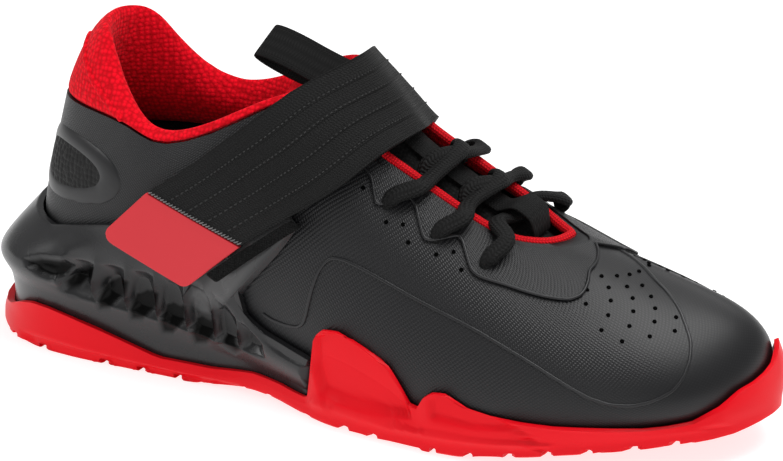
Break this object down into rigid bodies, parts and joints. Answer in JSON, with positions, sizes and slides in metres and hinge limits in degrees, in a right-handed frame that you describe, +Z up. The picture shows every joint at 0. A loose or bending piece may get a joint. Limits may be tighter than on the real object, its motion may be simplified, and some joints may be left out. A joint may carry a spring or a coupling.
{
  "type": "weightlifting shoe",
  "caption": "Right-foot weightlifting shoe: hollow upper on a raised heel wedge with a wrapped cage, rubber cup sole, laced throat and an instep strap.",
  "frame": {"origin": "on the floor under the heel, in the flat middle of the heel's tread", "axes": "+X from the heel to the toe, +Y to the inner side of the foot, +Z up"},
  "size_m": [0.2999, 0.1022, 0.1252],
  "materials": {
    "outsole_rubber": "satin red rubber",
    "cage": "satin black moulding",
    "upper": "coated black fabric with a fine grain",
    "insole": "matt black",
    "lining": "padded red mesh",
    "tongue": "padded black mesh",
    "webbing": "ribbed black webbing",
    "overlay": "satin black film",
    "strap": "black elastic webbing",
    "tab_rubber": "matt red rubber",
    "hook": "black hook fastener",
    "laces": "black woven cord"
  },
  "bodies": {
    "root": {"outsole": "outsole_rubber", "heel_cage": "cage", "upper": "upper", "insole": "insole", "collar_lining": "lining", "tongue": "tongue", "tongue_webbing": "webbing", "tongue_pull_loop": "webbing", "eyestay": "overlay", "side_panel_line_out": "overlay", "side_panel_line_in": "overlay", "heel_counter_frame_out": "overlay", "heel_counter_frame_in": "overlay", "strap": "strap", "strap_tab": "tab_rubber", "strap_hook_strip": "hook", "lace_bar": "laces", "lace_cross_low": "laces", "lace_cross_top": "laces"}
  },
  "joints": []
}
